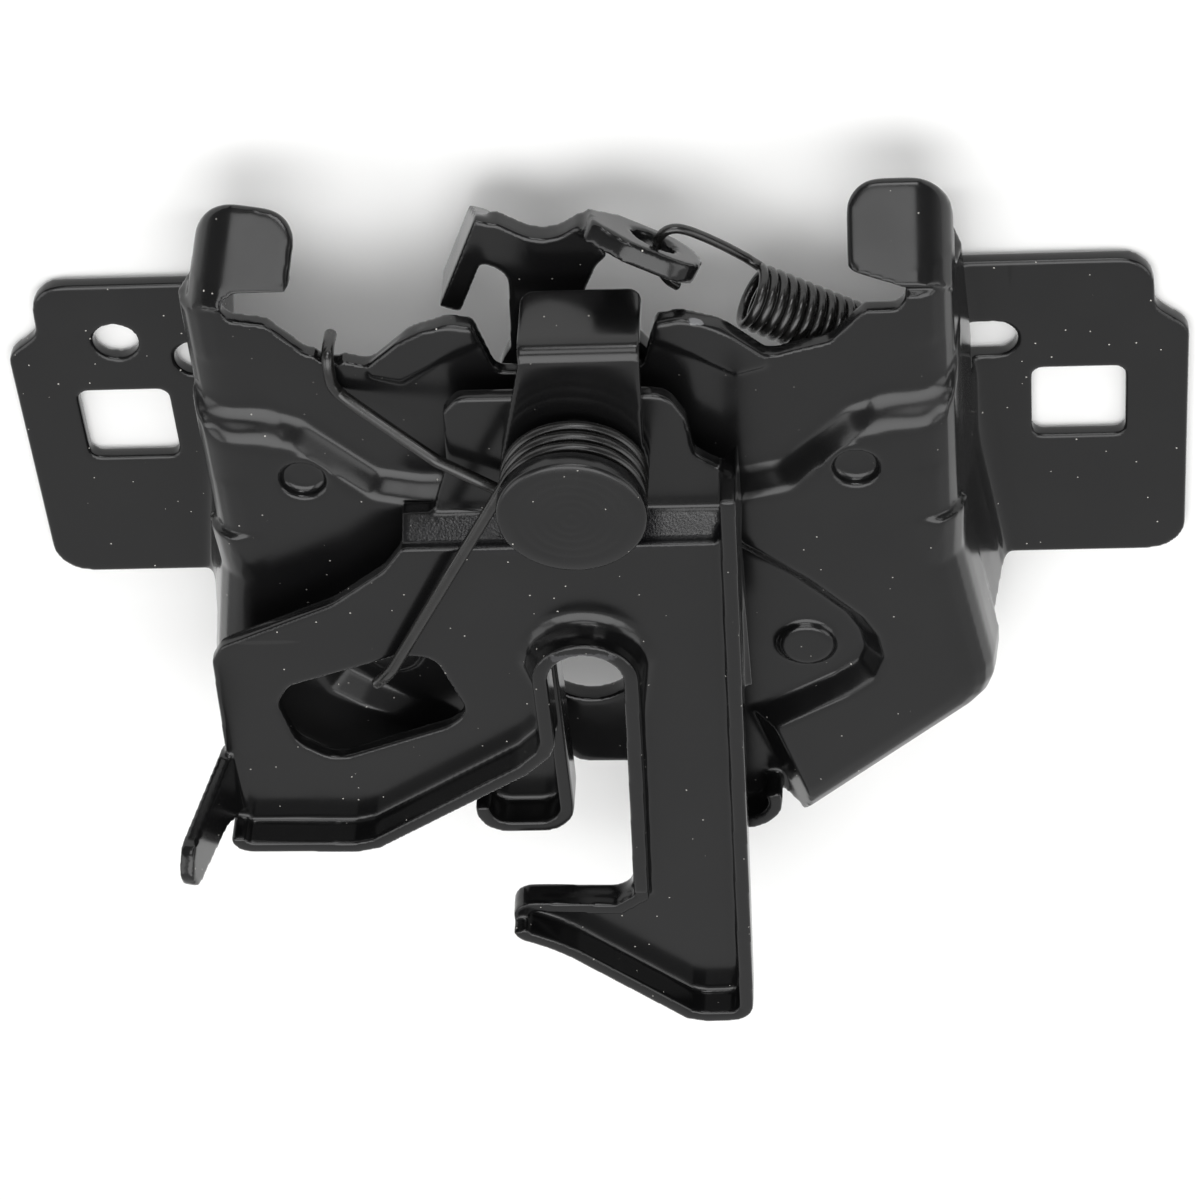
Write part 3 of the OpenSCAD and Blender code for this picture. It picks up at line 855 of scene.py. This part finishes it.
@dataclass
class PanBracket(PressedPiece):
    """The drawn pan: notched ears, creased side rolls, flats on the humps and a soft bow-tie.

    Attributes:
        middle: Middle of the pan in x, in mm.
        button: Place of a button from the middle, as x and z in mm.
        button_rim: Radius round a button that stays as it is, in mm.
        notches: Cuts at the feet of the ears.
        creases: Creases in the side rolls.
        flats: Flats on the humps.
        zones: The slopes of the bow-tie, the ends of the rolls and the ears.
    """

    middle: float = -1.45
    button: Pair = (43.65, 10.8)
    button_rim: float = 5.2
    notches: tuple[EarNotch, ...] = (EarNotch(1, 48.2, 43.7, 2.6), EarNotch(-1, -51.4, 44.5, 2.5))
    creases: tuple[Crease, ...] = (Crease(1, 52.45, 51.0, -0.9), Crease(-1, -55.35, -52.8, -1.3))
    flats: tuple[HumpFlat, ...] = (HumpFlat(1, 0.0), HumpFlat(-1, -3.4))
    zones: tuple[Zone, ...] = (
        Zone((12.0, 52.0), (22.4, 29.0), (-6.0, 27.0), 16),
        Zone((46.0, 58.0), (19.0, math.inf), (10.0, 34.0), 48),
        Zone((36.0, math.inf), (-math.inf, math.inf), (48.0, math.inf), 14, False),
    )

    def cutters(self) -> list[list[Point]]:
        """Points of the notches' cutters."""
        return [notch.points() for notch in self.notches]

    def details(self, form: bmesh.types.BMesh) -> None:
        """Add the creases and the flats.

        Args:
            form: Solid that takes them.
        """
        for crease in self.creases:
            add_hull(form, crease.points())
        for flat in self.flats:
            for run in flat.points():
                add_hull(form, run)

    def soften(self, skin: bmesh.types.BMesh) -> None:
        """Draw the zones in wide curves.

        Args:
            skin: Mesh of the bracket.
        """
        picked: list[list[bmesh.types.BMVert]] = [[] for _ in self.zones]
        for vert in skin.verts:
            side = abs(vert.co.x / MM - self.middle)
            depth, height = -vert.co.y / MM, vert.co.z / MM
            off = math.hypot(side - self.button[0], height - self.button[1])
            for zone, verts in zip(self.zones, picked):
                clear = off > self.button_rim or not zone.spares_buttons
                if clear and zone.holds(side, depth, height):
                    verts.append(vert)
        for zone, verts in zip(self.zones, picked):
            smooth(skin, verts, zone.rounds)


@dataclass
class SlotHook(PressedPiece):
    """The safety hook, with the cove that its slot flange is drawn up in.

    Attributes:
        centre: Middle of the slot's arch, as x and z in mm.
        sections: Convex sections of the cove, as radius and depth in mm.
        steps: Parts of the cove round the arch.
        legs: Side and length in mm of the cove's ends down the slot.
        leg_reach: How far a leg's end would lie from the middle if it had no length, in mm.
        leg_taper: How much nearer it lies for each mm of length.
        leg_depths: Depths of its end, in mm.
    """

    centre: Pair = (-2.35, -22.9)
    sections: tuple[tuple[Pair, ...], ...] = (
        ((8.2, 35.4), (11.5, 35.7), (9.8, 36.5), (8.2, 36.6)),
        ((8.2, 36.4), (9.8, 36.4), (8.7, 38.9), (8.2, 38.9)),
    )
    steps: int = 14
    legs: tuple[tuple[int, float], ...] = ((1, 22.0), (-1, 12.0))
    leg_reach: float = 7.9
    leg_taper: float = 0.04
    leg_depths: Pair = (35.4, 35.9)

    def details(self, form: bmesh.types.BMesh) -> None:
        """Lay the cove round the arch.

        Args:
            form: Solid that takes it.
        """
        x, z = self.centre
        for section in self.sections:
            for i in range(self.steps):
                points = []
                for turn in (180 * i / self.steps, 180 * (i + 1) / self.steps):
                    a = math.radians(turn)
                    points += [(x + r * math.cos(a), f, z + r * math.sin(a)) for r, f in section]
                add_hull(form, points)
            for side, drop in self.legs:
                reach = self.leg_reach - self.leg_taper * drop
                points = [(x + side * r, f, z) for r, f in section]
                points += [(x + side * reach, f, z - drop) for f in self.leg_depths]
                add_hull(form, points)


@dataclass
class TurnedRivet:
    """The rivet: a large head with turned rings, the shank and the upset tail, in mm.

    Attributes:
        head_radius: Radius of the head.
        head_rear: Depth of the head's back.
        head_front: Depth of the head's face.
        head_chamfer: Chamfer of the head's rear edge.
        head_round: Points of the head's front edge, in from its radius and back from its face.
        rings: Radii of the rings in the face.
        ring_half: Half the width of a ring.
        ring_deep: Depth of a ring.
        dimple: Radius and depth of the dimple in the face.
        shank: Radius of the shank.
        tail_front: Depth of the tail's front.
        tail_rear: Depth of the tail's end.
        tail_radius: Radius of the tail.
        tail_round: Points of the tail's edge, as radius and depth from its end.
        steps: Parts of a turn.
        crisp: Angle in radians above which an edge stays crisp.
    """

    head_radius: float = 11.7
    head_rear: float = 41.3
    head_front: float = 44.6
    head_chamfer: float = 0.4
    head_round: tuple[Pair, ...] = ((0.0, 0.7), (0.2, 0.25), (0.7, 0.0))
    rings: tuple[float, ...] = (8.6, 6.9, 5.2, 3.6, 2.1)
    ring_half: float = 0.35
    ring_deep: float = 0.05
    dimple: Pair = (0.7, 0.08)
    shank: float = 4.0
    tail_front: float = 8.8
    tail_rear: float = 5.8
    tail_radius: float = 6.4
    tail_round: tuple[Pair, ...] = ((0.0, 0.0), (4.2, 0.0), (5.4, 0.4), (6.4, 1.6))
    steps: int = 96
    crisp: float = 0.9

    def profile(self) -> list[Pair]:
        """Half section of the rivet.

        Returns:
            Radius and depth in mm, from the tail's middle to the head's middle.
        """
        wide, face, chamfer = self.head_radius, self.head_front, self.head_chamfer
        points = [(radius, self.tail_rear + rise) for radius, rise in self.tail_round]
        points += [(self.tail_radius, self.tail_front)]
        points += [(self.shank, self.tail_front), (self.shank, self.head_rear)]
        points += [(wide - chamfer, self.head_rear), (wide, self.head_rear + chamfer)]
        points += [(wide - inward, face - back) for inward, back in self.head_round]
        for radius in self.rings:
            points += [(radius + self.ring_half, face), (radius, face - self.ring_deep)]
            points += [(radius - self.ring_half, face)]
        points += [(self.dimple[0], face), (0.0, face - self.dimple[1])]
        return points

    def build(self, material: bpy.types.Material) -> bpy.types.Object:
        """Turn the rivet.

        Args:
            material: Finish of the rivet.

        Returns:
            The rivet, in place of its CAD node.
        """
        form = bmesh.new()
        line = [form.verts.new((PIVOT.x + r * MM, -f * MM, PIVOT.z)) for r, f in self.profile()]
        edges = [form.edges.new(pair) for pair in zip(line, line[1:])]
        bmesh.ops.spin(
            form,
            geom=line + edges,
            cent=PIVOT,
            axis=(0.0, 1.0, 0.0),
            angle=math.tau,
            steps=self.steps,
            use_merge=True,
            use_duplicate=False,
        )
        bmesh.ops.remove_doubles(form, verts=form.verts[:], dist=WELD)
        bmesh.ops.recalc_face_normals(form, faces=form.faces[:])
        for edge in form.edges:
            if edge.is_manifold and edge.calc_face_angle(0.0) > self.crisp:
                edge.smooth = False
        mesh = bpy.data.meshes.new("pivot_rivet_turned")
        form.to_mesh(mesh)
        form.free()
        piece = new_object("pivot_rivet_turned", mesh, material)
        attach(piece, Body.BRACKET.value)
        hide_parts("pivot_rivet")
        LOG.info("%s: %d faces", piece.name, len(mesh.polygons))
        return piece


def smooth_run(places: tuple[Point | Vector, ...], steps: int) -> list[Vector]:
    """Carry a smooth curve through points.

    Args:
        places: Points that the curve passes.
        steps: Parts to each span.

    Returns:
        Points along the curve.
    """
    points = [Vector(p) for p in places]
    run: list[Vector] = []
    last = len(points) - 1
    for i in range(last):
        a, b, c, d = (points[min(max(k, 0), last)] for k in (i - 1, i, i + 1, i + 2))
        for k in range(steps):
            t = k / steps
            square = (2 * a - 5 * b + 4 * c - d) * t**2
            cube = (3 * b - a - 3 * c + d) * t**3
            run.append(0.5 * (2 * b + (c - a) * t + square + cube))
    return run + [points[last]]


@dataclass
class WireSpring:
    """A spring bent from round wire.

    Attributes:
        node: CAD node that it stands for.
        wire_mm: Radius of the wire.
        start: Where the bending between the bodies starts, in mm; not used.
        end: Where it ends, in mm; not used.
        first: Body of the start; not used.
        second: Body of the end; not used.
        roundness: Blender's bevel resolution of the wire.
    """

    node: str
    wire_mm: float
    start: Point
    end: Point
    first: Body
    second: Body
    roundness: int = 4

    def path(self) -> list[Vector]:
        """Centre line of the wire in mm."""
        raise NotImplementedError

    def build(self, material: bpy.types.Material) -> bpy.types.Object:
        """Bend the wire.

        Args:
            material: Finish of the wire.

        Returns:
            The spring, in place of its CAD node.
        """
        curve = bpy.data.curves.new(self.node + "_line", "CURVE")
        curve.dimensions = "3D"
        curve.bevel_depth = self.wire_mm * MM
        curve.bevel_resolution = self.roundness
        curve.use_fill_caps = True
        spline = curve.splines.new("POLY")
        points = self.path()
        spline.points.add(len(points) - 1)
        for spot, at in zip(spline.points, points):
            spot.co = (at.x * MM, at.y * MM, at.z * MM, 1.0)
        mesh = settled(linked(self.node + "_line", curve), self.node + "_wire")
        form = bmesh.new()
        form.from_mesh(mesh)
        bmesh.ops.remove_doubles(form, verts=form.verts[:], dist=WIRE_WELD)
        bmesh.ops.recalc_face_normals(form, faces=form.faces[:])
        form.to_mesh(mesh)
        form.free()
        piece = new_object(self.node + "_wire", mesh, material)
        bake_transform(piece)
        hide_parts(self.node)
        LOG.info("%s: %d faces", piece.name, len(mesh.polygons))
        return piece


@dataclass
class HookSpring(WireSpring):
    """Torsion spring about the rivet, from the bracket's edge to the hook's window.

    Attributes:
        coil_mm: Radius of the coil.
        depths: Depths of the coil's first and last points, in mm.
        turns: Where the coil starts and ends, in degrees.
        steps: Parts of the coil.
        rear: Points of the leg to the bracket's edge, in mm.
        front: Points of the leg to the window, in mm.
        rear_steps: Parts to each span of the rear leg.
        front_steps: Parts to each span of the front leg.
    """

    coil_mm: float = 10.6
    depths: Pair = (33.8, 40.1)
    turns: Pair = (238.0, 1232.0)
    steps: int = 240
    rear: tuple[Point, ...] = (
        (-38.4, -19.5, 35.0), (-38.4, -23.0, 35.6), (-38.4, -24.8, 35.0),
        (-38.4, -25.5, 32.6), (-38.1, -25.5, 29.6), (-35.6, -26.1, 26.6),
        (-22.5, -32.1, 19.2),
    )
    front: tuple[Point, ...] = ((-33.4, -38.2, -21.4), (-34.8, -37.4, -24.0), (-37.0, -35.4, -28.0))
    rear_steps: int = 8
    front_steps: int = 6

    def path(self) -> list[Vector]:
        """Rear leg, coil and front leg.

        Returns:
            Points in mm.
        """
        coil = []
        for i in range(self.steps + 1):
            turn, depth = (
                first + (last - first) * i / self.steps for first, last in (self.turns, self.depths)
            )
            a = math.radians(turn)
            spot = Vector((math.cos(a), 0.0, math.sin(a))) * self.coil_mm + PIVOT / MM
            coil.append(Vector((spot.x, -depth, spot.z)))
        rear = smooth_run(self.rear, self.rear_steps)
        return rear + coil + smooth_run(self.front, self.front_steps)


@dataclass
class LeverSpring(WireSpring):
    """Extension spring from the lever's tab to the lug behind the bracket.

    Attributes:
        coil_mm: Radius of the coil.
        turns: Turns of the coil.
        turn_steps: Parts of a turn.
        length: Length of the coil, in mm.
        slope: How far the coil's axis falls to the right, in degrees.
        first_turn: Where the coil starts, in degrees.
        near: Start of the coil's axis, in mm.
        hook: Points of the hook in the tab, in mm.
        bend: First points of the tail, from the end of the coil's axis, in mm.
        tail: The other points of the tail, in mm.
        end_steps: Parts to each span of the hook and the tail.
    """

    coil_mm: float = 4.6
    turns: float = 11.3
    turn_steps: int = 36
    length: float = 19.0
    slope: float = 30.6
    first_turn: float = -40.0
    near: Point = (26.6, -14.6, 36.5)
    hook: tuple[Point, ...] = (
        (15.6, -14.2, 38.4), (14.2, -14.6, 40.2), (13.0, -14.6, 43.0),
        (12.9, -14.6, 46.4), (13.6, -14.6, 49.0), (15.4, -14.5, 50.4),
        (18.0, -14.1, 49.6), (22.6, -12.9, 45.6), (26.4, -11.8, 41.6),
    )
    bend: tuple[Point, ...] = ((1.6, -1.6, 1.4), (3.2, -0.4, -0.9))
    tail: tuple[Point, ...] = (
        (48.6, -14.6, 24.5), (51.9, -14.6, 22.6), (53.6, -14.6, 20.8), (53.5, -14.6, 18.4)
    )
    end_steps: int = 8

    def path(self) -> list[Vector]:
        """Hook, coil and tail.

        Returns:
            Points in mm.
        """
        lean = math.radians(self.slope)
        along = Vector((math.cos(lean), 0.0, -math.sin(lean)))
        u = Vector((math.sin(lean), 0.0, math.cos(lean)))
        v = Vector((0.0, -1.0, 0.0))
        near = Vector(self.near)
        far = near + along * self.length
        steps = round(self.turns * self.turn_steps)
        coil = []
        for i in range(steps + 1):
            turn = math.radians(360 * self.turns * i / steps + self.first_turn)
            off = (u * math.cos(turn) + v * math.sin(turn)) * self.coil_mm
            coil.append(near + (far - near) * (i / steps) + off)
        tail = (*(far + Vector(p) for p in self.bend), *self.tail)
        hook = smooth_run(self.hook, self.end_steps)
        return hook + coil + smooth_run(tail, self.end_steps)


@dataclass(frozen=True)
class SoftBox:
    """A soft box over the floor.

    Attributes:
        name: Name of the lamp.
        spot: Its place in metres.
        aim: What it faces, in metres.
        size: Its width and height in metres.
        watts: Its power.
    """

    name: str
    spot: Point
    aim: Point
    size: Pair
    watts: float

    def hang(self) -> None:
        """Put the lamp into the scene."""
        data = bpy.data.lights.new(self.name, "AREA")
        data.shape = "RECTANGLE"
        data.size, data.size_y = self.size
        data.energy = self.watts
        made = linked(self.name, data)
        made.location = self.spot
        way = Vector(self.aim) - Vector(self.spot)
        made.rotation_euler = way.to_track_quat("-Z", "Y").to_euler()


@dataclass(frozen=True)
class Studio:
    """Pale floor, soft lights and the camera.

    The latch lies on its back, as in the photograph: the floor is the plane just behind its wings.

    Attributes:
        floor_mm: How far the floor lies behind the mounting plane.
        floor_half: Half the floor's width, in metres.
        floor_colour: The floor's card.
        glow_seen: Share of plain white in the floor that the camera sees.
        glow_mirrored: Share of plain white in the floor that the coat mirrors.
        room_heights: Upward part of the directions between which the room's light falls off.
        room_light: The room's light below them and above them.
        target: What the camera looks at, in mm.
        azimuth: Turn of the camera about the upright axis, in degrees.
        elevation: Height of the camera, in degrees.
        roll: Turn of the picture, in degrees.
        distance: From the target to the camera, in mm.
        lens: Focal length in mm.
        sensor: Width of the camera's frame in mm.
        nearest: What the camera sees starts here, in metres.
        lamps: The soft boxes.
    """

    floor_mm: float = 0.3
    floor_half: float = 6.0
    floor_colour: str = "#f4f4f3"
    glow_seen: float = 0.12
    glow_mirrored: float = 0.45
    room_heights: Pair = (0.1, 0.5)
    room_light: Pair = (0.62, 0.2)
    target: Point = (-3.690, 0.0, -46.875)
    azimuth: float = 7.29534
    elevation: float = 46.38255
    roll: float = 6.45326
    distance: float = 767.7026
    lens: float = 135.0
    sensor: float = 36.0
    nearest: float = 0.01
    lamps: tuple[SoftBox, ...] = (
        SoftBox("soft_front", (0.0, -1.0, 0.12), (0.0, 0.0, 0.05), (1.0, 0.8), 6.9),
        SoftBox("soft_upper", (-0.03, -0.7, 0.74), (0.0, 0.0, 0.0), (0.6, 0.3), 1.5),
        SoftBox("soft_top", (0.155, -0.36, 0.93), (0.155, 0.0, 0.0), (0.49, 0.22), 1.7),
        SoftBox("soft_left", (-0.8, -0.7, -0.05), (0.0, 0.0, 0.0), (0.6, 0.6), 1.6),
        SoftBox("soft_right", (0.8, -0.7, -0.05), (0.0, 0.0, 0.0), (0.6, 0.6), 1.6),
    )

    def camera(self) -> None:
        """Set the camera where the photograph was taken from."""
        a, e, r = (math.radians(v) for v in (self.azimuth, self.elevation, self.roll))
        back = Vector((math.sin(a) * math.cos(e), -math.cos(a) * math.cos(e), math.sin(e)))
        right = Vector((math.cos(a), math.sin(a), 0.0))
        up = back.cross(right)
        across = right * math.cos(r) - up * math.sin(r)
        upward = right * math.sin(r) + up * math.cos(r)
        spot = (Vector(self.target) + back * self.distance) * MM
        turn = Matrix((across, upward, back)).transposed().to_4x4()
        data = bpy.data.cameras.new("photo_camera")
        data.lens = self.lens
        data.sensor_width = self.sensor
        data.clip_start = self.nearest
        made = linked("photo_camera", data)
        made.matrix_world = Matrix.Translation(spot) @ turn
        bpy.context.scene.camera = made

    def world(self) -> None:
        """Give the room a soft light, dimmer round the camera, which itself sees it white."""
        made = bpy.data.worlds.new("pale_room")
        bpy.context.scene.world = made
        node = partial(add, bare_tree(made))
        ray = node("ShaderNodeLightPath")
        towards = node("ShaderNodeTexCoord").outputs["Generated"]
        way = node("ShaderNodeSeparateXYZ", {0: towards})
        level = node(
            "ShaderNodeMapRange",
            {
                "Value": way.outputs["Z"],
                "From Min": self.room_heights[0],
                "From Max": self.room_heights[1],
                "To Min": self.room_light[0],
                "To Max": self.room_light[1],
            },
            interpolation_type="SMOOTHSTEP",
        )
        dim = node("ShaderNodeBackground", {"Color": linear(WHITE), "Strength": level.outputs[0]})
        white = node("ShaderNodeBackground", {"Color": linear(WHITE), "Strength": 1.0})
        mix = node(
            "ShaderNodeMixShader",
            {"Fac": ray.outputs["Is Camera Ray"], 1: dim.outputs[0], 2: white.outputs[0]},
        )
        node("ShaderNodeOutputWorld", {"Surface": mix.outputs[0]})

    def floor_card(self) -> bpy.types.Material:
        """Build the floor's finish: matt white card, which is clear from behind.

        Returns:
            The material, which has no pattern.
        """
        made = bpy.data.materials.new("pale_floor")
        made.use_transparent_shadow = False
        node = partial(add, bare_tree(made))
        ray = node("ShaderNodeLightPath")
        mirrored = node(
            "ShaderNodeMath",
            {0: ray.outputs["Is Glossy Ray"], 1: ray.outputs["Is Transmission Ray"]},
            operation="MAXIMUM",
        )
        bright = node(
            "ShaderNodeMath", {0: mirrored.outputs[0], 1: self.glow_mirrored}, operation="MULTIPLY"
        )
        plain = node(
            "ShaderNodeMath",
            {0: ray.outputs["Is Camera Ray"], 1: self.glow_seen},
            operation="MULTIPLY",
        )
        share = node(
            "ShaderNodeMath", {0: bright.outputs[0], 1: plain.outputs[0]}, operation="MAXIMUM"
        )
        matt = node("ShaderNodeBsdfDiffuse", {"Color": linear(self.floor_colour)})
        white = node("ShaderNodeEmission", {"Color": linear(WHITE), "Strength": 1.0})
        mix = node(
            "ShaderNodeMixShader",
            {"Fac": share.outputs[0], 1: matt.outputs[0], 2: white.outputs[0]},
        )
        behind = node("ShaderNodeNewGeometry").outputs["Backfacing"]
        clear = node("ShaderNodeBsdfTransparent")
        sheet = node("ShaderNodeMixShader", {"Fac": behind, 1: mix.outputs[0], 2: clear.outputs[0]})
        node("ShaderNodeOutputMaterial", {"Surface": sheet.outputs[0]})
        return made

    def floor(self) -> None:
        """Lay the pale floor, which keeps a soft shadow."""
        form = bmesh.new()
        bmesh.ops.create_grid(form, x_segments=1, y_segments=1, size=self.floor_half)
        upright = Matrix.Rotation(math.radians(90.0), 3, "X")
        bmesh.ops.rotate(form, verts=form.verts[:], matrix=upright)
        bmesh.ops.translate(form, verts=form.verts[:], vec=(0.0, self.floor_mm * MM, 0.0))
        mesh = bpy.data.meshes.new("floor")
        form.to_mesh(mesh)
        form.free()
        made = self.floor_card()
        new_object("floor", mesh, made)

    def build(self) -> None:
        """Set up the whole studio."""
        self.camera()
        self.world()
        self.floor()
        for lamp in self.lamps:
            lamp.hang()
        bpy.context.scene.view_settings.view_transform = "Standard"


def main() -> None:
    """Load the frame, dress every piece and light the scene."""
    logging.basicConfig(level=logging.INFO, format="%(name)s: %(message)s")
    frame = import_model()
    Studio().build()
    bracket_coat = ElectroCoat("black_electro_coat_bracket", marks=BRACKET_MARKS_AND_GLINTS).material()
    hook_coat = ElectroCoat("black_electro_coat_hook", roughness=0.19, marks=HOOK_MARKS_AND_GLINTS).material()
    lever_coat = ElectroCoat("black_electro_coat_lever", roughness=0.16).material()
    rivet_coat = ElectroCoat("black_electro_coat_rivet", roughness=0.24).material()
    wire = DrawnWire("black_spring_wire").material()
    PanBracket(
        "main_bracket", Body.BRACKET, Slot.BRACKET_PAINT, voxel_mm=0.46, faces=190000
    ).build(frame, bracket_coat)
    SlotHook("safety_hook", Body.FRONT_HOOK, Slot.HOOK_PAINT, voxel_mm=0.4).build(frame, hook_coat)
    PressedPiece(
        "primary_hook", Body.REAR_LEVER, Slot.LEVER_PAINT, voxel_mm=0.45, passes=4
    ).build(frame, lever_coat)
    PressedPiece(
        "stop_plate", Body.BRACKET, Slot.BRACKET_PAINT, voxel_mm=0.35
    ).build(frame, hook_coat)
    for ring in ("spring_sleeve", "hook_spacer", "lever_bush", "tail_washer"):
        PressedPiece(
            ring, Body.BRACKET, Slot.DARK_STEEL, voxel_mm=0.35, passes=2, faces=40000
        ).build(frame, rivet_coat)
    TurnedRivet().build(rivet_coat)
    HookSpring(
        node="torsion_spring",
        wire_mm=1.0,
        start=(0.0, -33.8, 9.4),
        end=(0.0, -36.435, 8.741),
        first=Body.BRACKET,
        second=Body.FRONT_HOOK,
    ).build(wire)
    LeverSpring(
        node="extension_spring",
        wire_mm=0.78,
        start=(20.0, -14.6, 44.0),
        end=(44.0, -14.6, 26.0),
        first=Body.REAR_LEVER,
        second=Body.BRACKET,
    ).build(wire)


if __name__ == "__main__":
    main()
